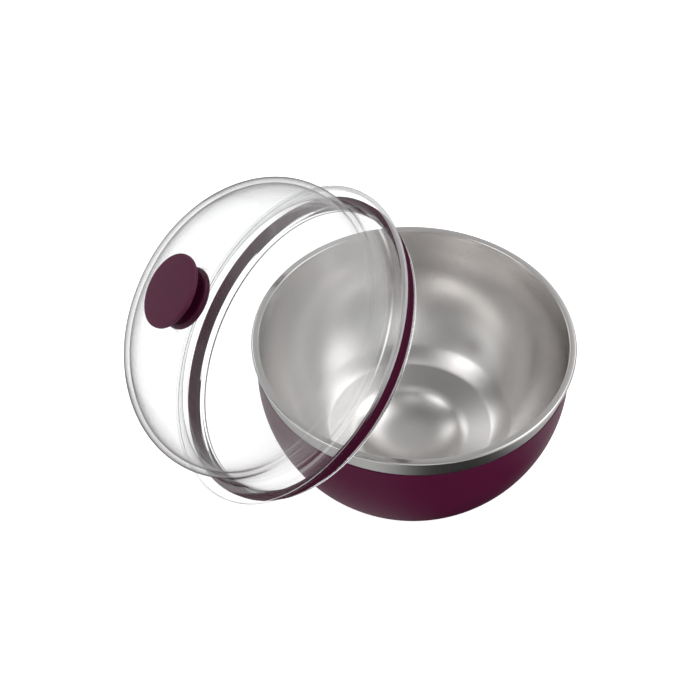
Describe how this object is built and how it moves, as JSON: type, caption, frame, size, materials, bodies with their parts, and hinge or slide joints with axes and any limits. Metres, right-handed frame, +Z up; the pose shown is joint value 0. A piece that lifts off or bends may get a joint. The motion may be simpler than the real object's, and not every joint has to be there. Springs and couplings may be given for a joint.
{
  "type": "insulated bowl with lid",
  "caption": "Double-walled stainless steel serving bowl with a coloured outside and a bare lip, and a clear domed lid with a soft gasket and a round knob, lifted off and tilted.",
  "frame": {"origin": "centre of the underside of the base pad, on the surface that the bowl stands on", "axes": "+Z up along the axis of the bowl; the lid leans over the lip towards -X, turned 15 degrees towards -Y"},
  "size_m": [0.3026, 0.2415, 0.2458],
  "materials": {
    "satin_steel": "blasted satin",
    "body_steel": "fine satin",
    "plum_coat": "smooth satin powder coat",
    "copper": "bright copper foil",
    "getter_metal": "sintered",
    "solder_glass": "fused bead",
    "pad_rubber": "matte",
    "clear_plastic": "clear polished",
    "plum_silicone": "soft satin",
    "plum_knob": "soft satin",
    "screw_steel": "plain"
  },
  "bodies": {
    "bowl": {"inner_shell": "satin_steel", "outer_shell": "body_steel", "colour_coat": "plum_coat", "copper_foil": "copper", "getter": "getter_metal", "vacuum_seal": "solder_glass", "base_plate": "body_steel", "base_pad": "pad_rubber"},
    "lid": {"lid_shell": "clear_plastic", "lid_gasket": "plum_silicone", "knob_body": "plum_knob", "knob_cap": "plum_knob", "knob_screw": "screw_steel", "knob_washer": "screw_steel", "knob_seal": "plum_silicone"}
  },
  "joints": [
    {"name": "lid_lift", "type": "slide", "parent": "bowl", "child": "lid", "axis": [-0.7064, -0.1893, 0.682], "range_m": [0, 0.13]}
  ]
}
